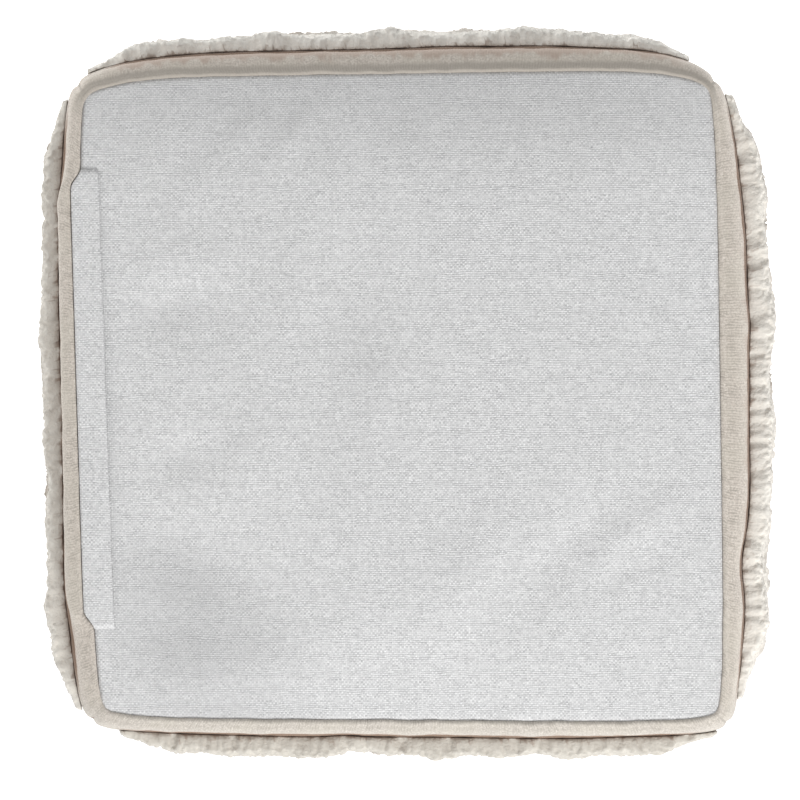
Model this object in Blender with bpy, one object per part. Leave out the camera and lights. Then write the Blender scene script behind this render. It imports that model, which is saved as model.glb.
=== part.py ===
"""Cube pouf stool in tufted ivory cotton, lying on its top with its base up.

Metres, +Z up. The floor is at z = 0 and the origin lies under the middle of the pouf. The walls are
named as they are seen from above: front is -Y, right +X, back +Y and left -X.
"""

import math
import random
from collections import namedtuple

import bmesh
import bpy
from mathutils import Vector, noise

# Driving dimensions
BASE_SEAM_Z = 0.430  # the seam round the base panel, above the floor
TOP_SEAM_Z = 0.036  # the seam round the top, which is underneath
WALL_DROP = BASE_SEAM_Z - TOP_SEAM_Z
GAP = 0.00035  # between pieces that touch

# Where two walls meet at the base seam, and how far the cloth stands out from there further down,
# each way. Each corner starts the side of the same row below.
Corner = namedtuple("Corner", "name x y out")
BASE_CORNERS = (
    Corner("front_left", -0.2065, -0.2160, 0.0185),
    Corner("front_right", 0.2205, -0.2175, 0.0165),
    Corner("back_right", 0.2130, 0.2160, 0.0125),
    Corner("back_left", -0.2185, 0.2105, 0.0160),
)
TOP_HALF = 0.2150  # half the distance between the corners of the top seam
TOP_BOW = 0.0080

# How far the middle of each side bows out at the base seam, how squarely, how far the wall's plain
# margin stands out from the seam at its start, middle and end, what the filling adds at half height,
# how thick the pile is, and where it starts and ends as shares of the side's length. Each side runs
# anticlockwise to the next corner.
Side = namedtuple("Side", "name out_x out_y bow power margin belly pile pile_from pile_to")
SIDES = (
    Side("front", 0, -1, 0.0050, 8, (0.0110, 0.0120, 0.0110), 0.0120, 0.0098, 0.046, 0.980),
    Side("right", 1, 0, 0.0040, 6, (0.0105, 0.0200, 0.0125), 0.0105, 0.0115, 0.040, 0.978),
    Side("back", 0, 1, 0.0115, 8, (0.0145, 0.0172, 0.0130), 0.0105, 0.0086, 0.046, 0.980),
    Side("left", -1, 0, 0.0045, 8, (0.0115, 0.0145, 0.0160), 0.0160, 0.0098, 0.024, 0.980),
)
ROLL_WIDTH = 0.0045  # the rolled seam allowance beside the base panel
TOP_SHOULDER = 0.0120
BELLY_POWER = 5  # how squarely a wall bulges from corner to corner
BELLY_ROUNDING = 0.9  # and how fully from its base to its top
CORNER_PINCH = 0.0032  # how far the upright corner seams are drawn in
CORNER_PINCH_WIDTH = 0.02
CORNER_BESIDE_PILE = 0.70  # share of a corner's out where the pile starts

# The wall's profile. drop is below the base seam; the others are shares of ROLL_WIDTH, of what is
# left of the side's margin, of its belly, and of the corner's out.
Row = namedtuple("Row", "drop roll shoulder belly corner")
MARGIN_ROWS = (
    Row(0.0020, 0.02, 0.00, 0.0, 0.00),
    Row(-0.0005, 0.08, 0.00, 0.0, 0.00),
    Row(-0.0013, 0.50, 0.00, 0.0, 0.10),
    Row(0.0003, 1.00, 0.00, 0.0, 0.22),
    Row(0.0026, 1.00, 0.40, 0.0, 0.38),
    Row(0.0068, 1.00, 0.80, 0.0, 0.52),
    Row(0.0130, 1.00, 1.00, 0.0, 0.62),
    Row(0.0190, 1.00, 0.86, 0.0, 0.66),
)
HEM_ROWS = (
    Row(0.3760, 1.00, 0.95, 0.0, 0.80),
    Row(0.3840, 1.00, 0.85, 0.0, 0.60),
    Row(0.3900, 1.00, 0.45, 0.0, 0.35),
    Row(WALL_DROP, 0.0, 0.00, 0.0, 0.00),
)
PILE_FIRST_DROP = 0.0260
PILE_LAST_DROP = 0.3680
PILE_ROW_COUNT = 10

# How a side is divided between its corners, as shares of its length
BESIDE_CORNER = 0.014
PILE_COLUMN_COUNT = 12
TOP_PILE_FROM = 0.045  # the pile's ends even out towards the top
TOP_PILE_TO = 0.955

# The base panel
PANEL_THICKNESS = 0.0016
PANEL_INSET = 0.0007  # leaves the seam line round the panel
PANEL_CROWN = 0.0092
CROWN_POWER = 3  # how squarely it rises
PANEL_FLAT_SHARE = 0.97  # of the crown, where the panel levels off
PANEL_SPLIT = 2  # the panel's points to each of the cover's
CAP_SINK = 0.0024  # how far the filling's face dips under the panel, clear of its hollows
CAP_SINK_RATE = 8  # how soon it does so, and how soon the folds start, inside the seam
# Hollows and soft folds of the panel: middle, half length, half width, turn in degrees, height
Fold = namedtuple("Fold", "x y along across turn height")
PANEL_FOLDS = (
    Fold(-0.158, 0.063, 0.036, 0.020, 5, -0.0020),
    Fold(-0.156, -0.036, 0.030, 0.017, 10, -0.0017),
    Fold(-0.146, -0.113, 0.038, 0.018, -25, -0.0020),
    Fold(-0.104, -0.036, 0.028, 0.020, 60, 0.0014),
    Fold(-0.110, -0.165, 0.040, 0.024, 80, -0.0016),
    Fold(0.104, -0.094, 0.048, 0.018, 62, -0.0019),
    Fold(0.172, -0.100, 0.042, 0.010, 28, 0.0012),
    Fold(-0.001, 0.140, 0.075, 0.010, 90, 0.0010),
)
FOLD_CLEAR_HALF = 0.060  # the panel's level middle, which no fold enters
FOLD_FADE = 0.030

# The flap over the zip: where its inner edge runs, and how far along the left side it reaches
FLAP_THICKNESS = 0.0015
FLAP_LIFT = 0.0006
FLAP_BACK_Y = 0.1590
FLAP_FRONT_Y = -0.1590
FLAP_INNER_BACK_X = -0.2084
FLAP_INNER_FRONT_X = -0.1980
FLAP_CELLS_ALONG = 18
FLAP_CELLS_ACROSS = 3
PLACKET_BULGE = 0.0070  # the flap's thickness pushes the left seam out beside it
PLACKET_FADE = 0.0120
PLACKET_DEPTH = 0.0500  # how far down the wall that still shows

# The pile
PILE_RIM_FULLNESS = 0.78  # the pile's thickness round its rim, as a share of its side's
PILE_END_FULLNESS = 0.30  # and at its two ends, where it thins out into the corners
PILE_END_WIDTH = 0.11  # how far that reaches, as a share of the pile's width
PILE_LUMP = 0.0058
PILE_RIM_LUMP = 0.0029
PILE_LUMP_SIZE = 0.026
PILE_LUMP_SHARE = 0.9
PILE_SWELL_SIZE = 0.060  # the broader lumps under these
PILE_SWELL_SHARE = 0.6
PILE_SWELL_START = Vector((3.1, 7.7, 1.3))
PILE_RIDGE = 0.0016  # the tufting runs in rows
PILE_SPLIT = 2  # the points of the pile's face to each of the cloth's
TOP_PILE_THICKNESS = 0.0140
TOP_PILE_RIM_THICKNESS = 0.0088
TOP_CAP_RISE = TOP_SEAM_Z - TOP_PILE_THICKNESS - GAP
TOP_CAP_POWER = 6
TOP_CAP_LEVEL = 0.95  # share of the fall at which the top lies flat on the floor
TOP_PILE_SKIPPED_CELLS = 2
LOCK_SHORTEST = 0.0035
LOCK_LONGEST = 0.0075
LOCK_TIP = 0.34  # a lock's width at its tip, as a share of its root
LOCK_RISE = 0.8  # how much a lock points away from the cloth, past the rim, and to either side
LOCK_SPREAD = 0.6
LOCK_SWAY = 0.55
LOCK_STEPS = (2, 2, 3)  # faces from one lock to the next, as often as they are listed
LOCK_SEED = 11
WALL_WOBBLE = 0.0012
WOBBLE_SIZE = 0.055
WOBBLE_POWER = 4  # how soon the wobble starts beside a corner

CANVAS_COLOUR = (0.68, 0.69, 0.71)
WALL_CLOTH_COLOUR = (0.66, 0.59, 0.52)
PILE_COLOUR = (0.68, 0.63, 0.55)
CLOTH_ROUGHNESS = 0.90
PILE_ROUGHNESS = 0.95


def clear_scene():
    for old in list(bpy.data.objects):
        bpy.data.objects.remove(old, do_unlink=True)


def material(name, colour, roughness):
    made = bpy.data.materials.new(name)
    made.use_nodes = True
    shader = made.node_tree.nodes["Principled BSDF"]
    shader.inputs["Base Color"].default_value = (*colour, 1.0)
    shader.inputs["Roughness"].default_value = roughness
    shader.inputs["Metallic"].default_value = 0.0
    return made


def smoothstep(value):
    value = min(1.0, max(0.0, value))
    return value * value * (3 - 2 * value)


def mix(a, b, share):
    return a + (b - a) * share


def plateau(share, power):
    """1 in the middle of a span, falling to 0 at both of its ends."""
    return 1 - abs(2 * share - 1) ** power


# The filled cover


def pile_row(step):
    """One of the profile's rows behind the pile, which the filling pushes out most at half height."""
    drop = mix(PILE_FIRST_DROP, PILE_LAST_DROP, step / PILE_ROW_COUNT)
    belly = math.sin(math.pi * drop / WALL_DROP) ** BELLY_ROUNDING
    return Row(drop, 1.0, 1.0, belly, mix(CORNER_BESIDE_PILE, 1.0, belly))


def wall_rows():
    behind_pile = [pile_row(step) for step in range(PILE_ROW_COUNT + 1)]
    return [*MARGIN_ROWS, *behind_pile, *HEM_ROWS]


def pile_shares(index, row, split=1):
    """Where the columns behind a side's pile stand at one row of the profile."""
    side = SIDES[index]
    down = max(0.0, row.drop) / WALL_DROP
    first = mix(side.pile_from, TOP_PILE_FROM, down)
    last = mix(side.pile_to, TOP_PILE_TO, down)
    count = PILE_COLUMN_COUNT * split
    return [mix(first, last, i / count) for i in range(count + 1)]


def side_shares(index, row, split=1):
    """Where a side has its points, from its own corner to the next."""
    return [0.0, BESIDE_CORNER, *pile_shares(index, row, split), 1 - BESIDE_CORNER, 1.0]


def drawn_in(row):
    """How far the upright seams pull the corners in at one row of the profile."""
    return CORNER_PINCH * smoothstep(row.corner)


def corner_point(index, row):
    """The corner that starts side number index, at one row of the profile."""
    corner = BASE_CORNERS[index % len(BASE_CORNERS)]
    share = max(0.0, row.drop) / WALL_DROP
    sign_x = math.copysign(1, corner.x)
    sign_y = math.copysign(1, corner.y)
    out = corner.out * row.corner - drawn_in(row)
    x = mix(corner.x, sign_x * TOP_HALF, share) + sign_x * out
    y = mix(corner.y, sign_y * TOP_HALF, share) + sign_y * out
    return Vector((x, y, BASE_SEAM_Z - row.drop))


def placket(y, row):
    """What the zip and its flap push the left side out."""
    inside = min(FLAP_BACK_Y - y, y - FLAP_FRONT_Y) / PLACKET_FADE
    return PLACKET_BULGE * smoothstep(inside) * (1 - smoothstep(row.drop / PLACKET_DEPTH))


def margin_width(side, share):
    """How far the plain margin stands out from the seam, in one smooth curve from end to end."""
    first, middle, last = side.margin
    turning = 2 * (first + last - 2 * middle) * share
    return first + (4 * middle - 3 * first - last + turning) * share


def wall_point(index, share, row):
    """A point of the cloth on side number index, at a share of its length and a row of the profile."""
    side = SIDES[index]
    start = corner_point(index, row)
    end = corner_point(index + 1, row)
    fall = smoothstep(row.drop / WALL_DROP)
    shoulder = mix(margin_width(side, share), TOP_SHOULDER, fall) - ROLL_WIDTH
    stand = ROLL_WIDTH * row.roll + shoulder * row.shoulder + side.belly * row.belly
    bow = mix(side.bow, TOP_BOW, fall)
    power = mix(side.power, BELLY_POWER, row.belly)
    next_corner = BASE_CORNERS[(index + 1) % len(BASE_CORNERS)]
    corner_out = mix(BASE_CORNERS[index].out, next_corner.out, share) * row.corner
    out = (bow + stand - corner_out) * plateau(share, power)
    out += drawn_in(row) * smoothstep(share * (1 - share) / CORNER_PINCH_WIDTH)
    point = start.lerp(end, share)
    if side.name == "left":
        out += placket(point.y, row)
    loose = smoothstep(row.drop / PILE_FIRST_DROP) * plateau(share, WOBBLE_POWER)
    out += WALL_WOBBLE * loose * noise.noise(point / WOBBLE_SIZE)
    return point + out * Vector((side.out_x, side.out_y, 0))


def ring(row):
    """The cover's points all round at one row of the profile."""
    points = []
    for index in range(len(SIDES)):
        points += [wall_point(index, share, row) for share in side_shares(index, row)[:-1]]
    return points


def patch_point(index_point, across, along):
    """A point inside four sides, carried over from the sides themselves.

    index_point gives a side's point at a share of its length. across runs from left to right and
    along from front to back.
    """
    front = index_point(0, across)
    right = index_point(1, along)
    back = index_point(2, 1 - across)
    left = index_point(3, 1 - along)
    corners = [index_point(index, 0.0) for index in range(len(SIDES))]
    ruled_y = front.lerp(back, along)
    ruled_x = left.lerp(right, across)
    flat = corners[0].lerp(corners[1], across).lerp(corners[3].lerp(corners[2], across), along)
    return ruled_x + ruled_y - flat


def crown(across, along):
    """How far the base panel's middle stands above its seam."""
    domed = PANEL_CROWN * plateau(across, CROWN_POWER) * plateau(along, CROWN_POWER)
    return min(domed, PANEL_CROWN * PANEL_FLAT_SHARE)


def top_fall(across, along):
    """0 at the top's seam, 1 where the top lies level."""
    fall = plateau(across, TOP_CAP_POWER) * plateau(along, TOP_CAP_POWER)
    return min(1.0, fall / TOP_CAP_LEVEL)


def sewn_grid(point_at, row, split):
    """Points over the whole square inside one row of the profile, in lines from front to back."""
    front = side_shares(0, row, split)
    right = side_shares(1, row, split)
    back = [1 - share for share in reversed(side_shares(2, row, split))]
    left = [1 - share for share in reversed(side_shares(3, row, split))]
    grid = []
    for j in range(len(right)):
        line = []
        for i in range(len(front)):
            across = mix(front[i], back[i], right[j])
            along = mix(left[j], right[j], front[i])
            line.append(point_at(across, along))
        grid.append(line)
    return grid


def cap_grid(row, height):
    """The cover's points under the base panel, or over the floor."""

    def cap_point(across, along):
        point = patch_point(lambda index, share: wall_point(index, share, row), across, along)
        point.z = height(across, along)
        return point

    return sewn_grid(cap_point, row, 1)


def inside_seam(across, along):
    """0 at the base panel's seam, 1 a little way inside it."""
    inside_x = smoothstep(CAP_SINK_RATE * across * (1 - across))
    inside_y = smoothstep(CAP_SINK_RATE * along * (1 - along))
    return inside_x * inside_y


def base_cap_height(across, along):
    sink = CAP_SINK * inside_seam(across, along)
    return BASE_SEAM_Z - MARGIN_ROWS[0].drop + crown(across, along) - sink


def top_cap_height(across, along):
    return TOP_SEAM_Z - TOP_CAP_RISE * top_fall(across, along)


def rim_of_grid(grid):
    """The outer items of a grid, once round in the order of ring()."""
    top = len(grid) - 1
    side = len(grid[0]) - 1
    front = [grid[0][i] for i in range(side)]
    right = [grid[i][side] for i in range(top)]
    back = [grid[top][side - i] for i in range(side)]
    left = [grid[top - i][0] for i in range(top)]
    return front + right + back + left


def finish(name, shape, finish_material):
    """Makes an object of a mesh under construction, with its faces pointing out."""
    bmesh.ops.recalc_face_normals(shape, faces=shape.faces)
    mesh = bpy.data.meshes.new(name)
    shape.to_mesh(mesh)
    shape.free()
    mesh.materials.append(finish_material)
    mesh.shade_smooth()
    made = bpy.data.objects.new(name, mesh)
    bpy.context.scene.collection.objects.link(made)
    return made


def quads_between(shape, first, second):
    """Joins two closed loops of as many vertices."""
    count = len(first)
    for i in range(count):
        after = (i + 1) % count
        shape.faces.new((first[i], first[after], second[after], second[i]))


def quads_of_grid(shape, grid):
    faces = []
    for below, above in zip(grid, grid[1:]):
        for i in range(len(below) - 1):
            faces.append(shape.faces.new((below[i], below[i + 1], above[i + 1], above[i])))
    return faces


def make_body(cloth):
    """The four walls and the top, filled, as one solid."""
    shape = bmesh.new()
    rows = wall_rows()
    base_grid = [[shape.verts.new(p) for p in line] for line in cap_grid(rows[0], base_cap_height)]
    top_grid = [[shape.verts.new(p) for p in line] for line in cap_grid(rows[-1], top_cap_height)]
    loops = [rim_of_grid(base_grid)]
    loops += [[shape.verts.new(p) for p in ring(row)] for row in rows[1:-1]]
    loops.append(rim_of_grid(top_grid))
    for first, second in zip(loops, loops[1:]):
        quads_between(shape, first, second)
    quads_of_grid(shape, base_grid)
    quads_of_grid(shape, top_grid)
    return finish("body", shape, cloth)


# The base panel and the flap on it


def fold_height(x, y):
    """The panel's hollows and soft folds, which keep out of its level middle."""
    off_middle = max(abs(x), abs(y)) - FOLD_CLEAR_HALF
    if off_middle <= 0:
        return 0.0
    height = 0.0
    for fold in PANEL_FOLDS:
        turn = math.radians(fold.turn)
        dx = x - fold.x
        dy = y - fold.y
        along = (dx * math.cos(turn) + dy * math.sin(turn)) / fold.along
        across = (dy * math.cos(turn) - dx * math.sin(turn)) / fold.across
        height += fold.height * math.exp(-(along * along + across * across))
    return height * smoothstep(off_middle / FOLD_FADE)


def panel_edge(index, share):
    """The panel's outline: the cover's own seam line, drawn in a little."""
    side = SIDES[index]
    seam = MARGIN_ROWS[0]
    shares = side_shares(index, seam)
    cell = next(i for i in range(len(shares) - 1) if share <= shares[i + 1])
    start = wall_point(index, shares[cell], seam)
    end = wall_point(index, shares[cell + 1], seam)
    point = start.lerp(end, (share - shares[cell]) / (shares[cell + 1] - shares[cell]))
    return point - PANEL_INSET * Vector((side.out_x, side.out_y, 0))


def panel_point(across, along):
    point = patch_point(panel_edge, across, along)
    folds = fold_height(point.x, point.y) * inside_seam(across, along)
    point.z = BASE_SEAM_Z + crown(across, along) + folds
    return point


def make_sheet(name, grid, thickness, canvas):
    """An even sheet of cloth whose upper face runs through a grid of points."""
    shape = bmesh.new()
    upper = [[shape.verts.new(point) for point in line] for line in grid]
    drop = Vector((0, 0, thickness))
    lower = [[shape.verts.new(vert.co - drop) for vert in line] for line in upper]
    quads_of_grid(shape, upper)
    quads_of_grid(shape, lower)
    quads_between(shape, rim_of_grid(upper), rim_of_grid(lower))
    return finish(name, shape, canvas)


def share_at_y(y):
    """How far along the left side, from front to back, a y lies."""
    front = BASE_CORNERS[0].y
    back = BASE_CORNERS[3].y
    return (y - front) / (back - front)


def flap_point(y, inner_x, share):
    """A point of the flap's face, at a share of the way from its inner edge to the seam."""
    along = share_at_y(y)
    edge = panel_edge(3, 1 - along)
    x = mix(inner_x, edge.x, share)
    across = (x - edge.x) / (panel_edge(1, along).x - edge.x)
    z = panel_point(max(0.0, across), along).z
    return Vector((x, y, z + FLAP_LIFT + FLAP_THICKNESS))


def flap_grid():
    """The strip over the zip, with its outer edge in the seam and its inner edge free."""
    grid = []
    for i in range(FLAP_CELLS_ALONG + 1):
        share = i / FLAP_CELLS_ALONG
        y = mix(FLAP_FRONT_Y, FLAP_BACK_Y, share)
        inner_x = mix(FLAP_INNER_FRONT_X, FLAP_INNER_BACK_X, share)
        shares = [j / FLAP_CELLS_ACROSS for j in range(FLAP_CELLS_ACROSS + 1)]
        grid.append([flap_point(y, inner_x, across) for across in shares])
    return grid


# The pile


def normals_of(grid, outward):
    """The direction away from the cloth at each point of a grid."""
    found = []
    for i, line in enumerate(grid):
        row = []
        for j in range(len(line)):
            up = grid[min(i + 1, len(grid) - 1)][j] - grid[max(i - 1, 0)][j]
            along = line[min(j + 1, len(line) - 1)] - line[max(j - 1, 0)]
            normal = along.cross(up).normalized()
            row.append(normal if normal.dot(outward) > 0 else -normal)
        found.append(row)
    return found


def between(grid, i, j, split):
    """A grid's value at finer steps, split of them to each cell."""
    low_i = min(i // split, len(grid) - 2)
    low_j = min(j // split, len(grid[0]) - 2)
    share_i = i / split - low_i
    share_j = j / split - low_j
    below = grid[low_i][low_j].lerp(grid[low_i][low_j + 1], share_j)
    above = grid[low_i + 1][low_j].lerp(grid[low_i + 1][low_j + 1], share_j)
    return below.lerp(above, share_i)


def lump(point):
    """How far the tufts stand above their even height, from -1 to 1."""
    swell = noise.noise(point / PILE_SWELL_SIZE + PILE_SWELL_START)
    return PILE_SWELL_SHARE * swell + PILE_LUMP_SHARE * noise.noise(point / PILE_LUMP_SIZE)


def wall_fullness(share):
    """How full a wall's pile is, at a share of its width: it thins out into the corners."""
    return mix(PILE_END_FULLNESS, 1, smoothstep(min(share, 1 - share) / PILE_END_WIDTH))


def wall_face(side):
    """The face of a wall's pile: full inside, rounded off at its rim, ridged along its rows."""

    def face_point(point, way, i, j, rows, columns):
        at_rim = i in (0, rows) or j in (0, columns)
        thickness = side.pile * (PILE_RIM_FULLNESS if at_rim else 1)
        ridge = PILE_RIDGE if i % 2 else -PILE_RIDGE
        bulge = (PILE_RIM_LUMP if at_rim else PILE_LUMP) * lump(point)
        return point + way * (GAP + wall_fullness(j / columns) * (thickness + ridge + bulge))

    return face_point


def make_pile(name, grid, outward, face_point, fullness, yarn):
    """A lumpy slab of pile on a grid of the cloth, with locks standing out all round its rim."""
    shape = bmesh.new()
    split = PILE_SPLIT
    normals = normals_of(grid, outward)
    back = []
    for line, ways in zip(grid, normals):
        back.append([shape.verts.new(point + way * GAP) for point, way in zip(line, ways)])
    rows = split * (len(grid) - 1)
    columns = split * (len(grid[0]) - 1)
    front = []
    for i in range(rows + 1):
        line = []
        for j in range(columns + 1):
            point = between(grid, i, j, split)
            way = between(normals, i, j, split).normalized()
            line.append(shape.verts.new(face_point(point, way, i, j, rows, columns)))
        front.append(line)
    quads_of_grid(shape, back)
    faces = quads_of_grid(shape, front)
    back_rim = rim_of_grid(back)
    front_rim = rim_of_grid(front)
    for i in range(len(back_rim)):
        after = (i + 1) % len(back_rim)
        edge = [front_rim[(split * i + k) % len(front_rim)] for k in range(split, -1, -1)]
        shape.faces.new([back_rim[i], back_rim[after], *edge])
    bmesh.ops.recalc_face_normals(shape, faces=shape.faces)
    face_grid = [faces[i * columns : (i + 1) * columns] for i in range(rows)]
    full_grid = [[fullness((j + 0.5) / columns) for j in range(columns)] for i in range(rows)]
    add_locks(shape, rim_of_grid(face_grid), rim_of_grid(full_grid))
    return finish(name, shape, yarn)


def add_locks(shape, ring_faces, fullness):
    """Draws faces round the rim, never two side by side, out into tapered locks."""
    middle = sum((face.calc_center_median() for face in ring_faces), Vector()) / len(ring_faces)
    chance = random.Random(LOCK_SEED)
    number = 0
    while number < len(ring_faces) - 1:
        face = ring_faces[number]
        centre = face.calc_center_median()
        normal = face.normal.copy()
        away = centre - middle
        away = (away - away.dot(normal) * normal).normalized()
        sway = chance.uniform(-LOCK_SWAY, LOCK_SWAY) * normal.cross(away)
        reach = (LOCK_RISE * normal + LOCK_SPREAD * away + sway).normalized()
        length = chance.uniform(LOCK_SHORTEST, LOCK_LONGEST) * fullness[number]
        made = bmesh.ops.extrude_discrete_faces(shape, faces=[face])["faces"][0]
        for vert in made.verts:
            vert.co = centre + (vert.co - centre) * LOCK_TIP + reach * length
        number += chance.choice(LOCK_STEPS)


def top_pile_point(point, way, i, j, rows, columns):
    """The underside of the top's pile, level where it lies on the floor."""
    at_rim = i in (0, rows) or j in (0, columns)
    thickness = TOP_PILE_RIM_THICKNESS if at_rim else TOP_PILE_THICKNESS
    bulge = PILE_LUMP * abs(lump(point))
    down = point + way * (GAP + thickness + bulge)
    down.z = max(0.0, down.z)
    return down


def wall_grid(index):
    """The cloth behind a wall's pile, in rows from the base down."""
    rows = [pile_row(step) for step in range(PILE_ROW_COUNT + 1)]
    return [[wall_point(index, share, row) for share in pile_shares(index, row)] for row in rows]


def centre_on_floor(pieces):
    """Moves all the pieces together, so that the origin lies under the middle of their outline."""
    corners = [vert.co for piece in pieces for vert in piece.data.vertices]
    middle_x = (min(c.x for c in corners) + max(c.x for c in corners)) / 2
    middle_y = (min(c.y for c in corners) + max(c.y for c in corners)) / 2
    for piece in pieces:
        piece.location = (-middle_x, -middle_y, 0.0)


def main():
    clear_scene()
    canvas = material("canvas", CANVAS_COLOUR, CLOTH_ROUGHNESS)
    cloth = material("wall_cloth", WALL_CLOTH_COLOUR, CLOTH_ROUGHNESS)
    yarn = material("pile_yarn", PILE_COLOUR, PILE_ROUGHNESS)
    panel_grid = sewn_grid(panel_point, MARGIN_ROWS[0], PANEL_SPLIT)
    pieces = [
        make_body(cloth),
        make_sheet("base_panel", panel_grid, PANEL_THICKNESS, canvas),
        make_sheet("zip_flap", flap_grid(), FLAP_THICKNESS, canvas),
    ]
    for index, side in enumerate(SIDES):
        outward = Vector((side.out_x, side.out_y, 0))
        name = "pile_" + side.name
        pieces.append(make_pile(name, wall_grid(index), outward, wall_face(side), wall_fullness, yarn))
    skipped = TOP_PILE_SKIPPED_CELLS
    grid = cap_grid(HEM_ROWS[-1], top_cap_height)
    inner = [line[skipped:-skipped] for line in grid[skipped:-skipped]]
    down = Vector((0, 0, -1))
    pieces.append(make_pile("pile_top", inner, down, top_pile_point, lambda share: 1.0, yarn))
    centre_on_floor(pieces)


main()
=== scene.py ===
import math

import bpy
import numpy as np
from mathutils import Matrix, Vector, noise


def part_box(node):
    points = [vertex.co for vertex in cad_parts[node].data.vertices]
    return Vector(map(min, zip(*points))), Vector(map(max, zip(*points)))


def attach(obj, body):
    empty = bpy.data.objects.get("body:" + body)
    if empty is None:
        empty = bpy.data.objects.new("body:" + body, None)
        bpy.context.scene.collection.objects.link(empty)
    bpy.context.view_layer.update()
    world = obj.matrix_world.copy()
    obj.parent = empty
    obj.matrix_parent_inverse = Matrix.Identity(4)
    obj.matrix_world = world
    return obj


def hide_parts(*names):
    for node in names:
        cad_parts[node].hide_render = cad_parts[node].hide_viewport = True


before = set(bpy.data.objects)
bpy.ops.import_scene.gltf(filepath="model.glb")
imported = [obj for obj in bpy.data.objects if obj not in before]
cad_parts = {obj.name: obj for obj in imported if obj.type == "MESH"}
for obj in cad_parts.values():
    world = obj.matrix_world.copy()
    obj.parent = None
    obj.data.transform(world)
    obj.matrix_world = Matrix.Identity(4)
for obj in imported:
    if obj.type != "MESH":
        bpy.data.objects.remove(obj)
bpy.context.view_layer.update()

# --------------------------------------------------
# The filled cover. Four walls and a top of ribbed ivory cotton are sewn into a cube, turned and
# filled. Round the base each wall rolls over its seam allowance, stands out as a plain margin and
# dips into a crease above the pile; the upright seams draw the corners in.

BASE_SEAM_Z = 0.43
WALL_DROP = 0.394
CORNERS = np.array([(-0.2065, -0.216), (0.2205, -0.2175), (0.213, 0.216), (-0.2185, 0.2105)])
CORNER_OUT = np.array([0.0185, 0.0165, 0.0125, 0.016])
OUTWARD = np.array([(0.0, -1.0, 0.0), (1.0, 0.0, 0.0), (0.0, 1.0, 0.0), (-1.0, 0.0, 0.0)])
SIDE_NAMES = ("front", "right", "back", "left")
SIDE_BOW = (0.005, 0.004, 0.0115, 0.0045)
SIDE_POWER = (8, 6, 8, 8)  # how evenly each side's bow is spread along it
SIDE_MARGIN = (  # how far the plain margin stands out at each side's start, middle and end
    (0.0110, 0.0120, 0.0110),
    (0.0105, 0.0200, 0.0125),
    (0.0145, 0.0172, 0.0130),
    (0.0115, 0.0145, 0.0160),
)
MARGIN_DENTS = (  # side, share along it, length as a share, how deep
    ("right", 0.25, 0.050, 0.0040),
    ("right", 0.62, 0.030, -0.0012),
    ("front", 0.40, 0.030, 0.0012),
)
DENT_FADE = 0.03
SIDE_BELLY = (0.012, 0.0105, 0.0105, 0.016)
BELLY_POWER = 5
BELLY_CURVE = 0.9
TOP_HALF = 0.215
TOP_BOW = 0.008
TOP_SHOULDER = 0.012
ROLL_WIDTH = 0.0045
CORNER_BEHIND_PILE = 0.7  # how far the corner stands out at the ends of the pile
CORNER_PINCH = 0.0032
CORNER_PINCH_WIDTH = 0.02
FLAP_BACK_Y = 0.159
FLAP_FRONT_Y = -0.159
PLACKET_BULGE = 0.007
PLACKET_BULGE_BELOW = 0.75  # the share of it that is left below the roll
PLACKET_FADE = 0.012
PLACKET_SPREAD = 2.5
PLACKET_DEPTH = 0.05
PLACKET_ROLL = 0.013  # from here down the cloth eases off over the zip's ends
PILE_FIRST_DROP = 0.026
PILE_LAST_DROP = 0.368
WALL_WOBBLE = 0.0012
WOBBLE_SIZE = 0.055
WOBBLE_POWER = 4

# The wall's profile from the base seam down: the drop, then shares of the roll, of the margin's
# shoulder, of the filled belly and of how far the corner stands out.
MARGIN_PROFILE = [
    (0.0020, 0.02, 0.00, 0.0, 0.00),
    (-0.0005, 0.08, 0.00, 0.0, 0.00),
    (-0.0013, 0.50, 0.00, 0.0, 0.10),
    (0.0003, 1.00, 0.00, 0.0, 0.22),
    (0.0026, 1.00, 0.40, 0.0, 0.38),
    (0.0068, 1.00, 0.80, 0.0, 0.52),
    (0.0130, 1.00, 1.00, 0.0, 0.62),
    (0.0190, 1.00, 0.86, 0.0, 0.66),
]
HEM_PROFILE = [
    (0.3760, 1.00, 0.95, 0.0, 0.80),
    (0.3840, 1.00, 0.85, 0.0, 0.60),
    (0.3900, 1.00, 0.45, 0.0, 0.35),
    (WALL_DROP, 0.0, 0.00, 0.0, 0.00),
]
PROFILE_STEPS_BEHIND_PILE = 10
FINER_ROWS = 3
FINER_ROWS_BEHIND_PILE = 4
SIDE_COLUMNS = 128
TOWARD_CORNERS = 0.5  # how much closer the columns stand at the corners
WALL_START = 0.5  # on the flat cloth, from one wall's start to the next one's
WALL_LENGTH = 0.44
CAP_SPLIT = 4  # the cover's columns to each cell of its hidden caps
CORNER_ROUND_COLUMNS = 14  # the turned cloth rounds its corners off
CORNER_ROUNDINGS = 26
BASE_CAP_Z = 0.4222
TOP_CAP_Z = 0.0218
TOP_CAP_POWER = 6
TOP_CAP_LEVEL = 0.95
CROWN_HEIGHT = 0.0092
CROWN_POWER = 3
CROWN_LEVEL = 0.97

# The drawing is laid out round the middle of the base panel in the photograph; the model stands
# over the middle of its own outline.
PANEL_REACH = (0.22761, 0.22167)  # from that middle to the left and to the front of its box
panel_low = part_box("base_panel")[0]
MOVED = np.array([panel_low.x + PANEL_REACH[0], panel_low.y + PANEL_REACH[1], 0.0])


def smoothstep(value):
    value = np.clip(value, 0.0, 1.0)
    return value * value * (3 - 2 * value)


def mix(a, b, share):
    return a + (b - a) * share


def plateau(share, power):
    return 1 - np.abs(2 * share - 1) ** power


def closer_at_ends(shares, amount):
    return mix(shares, 0.5 - 0.5 * np.cos(np.pi * shares), amount)


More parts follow.
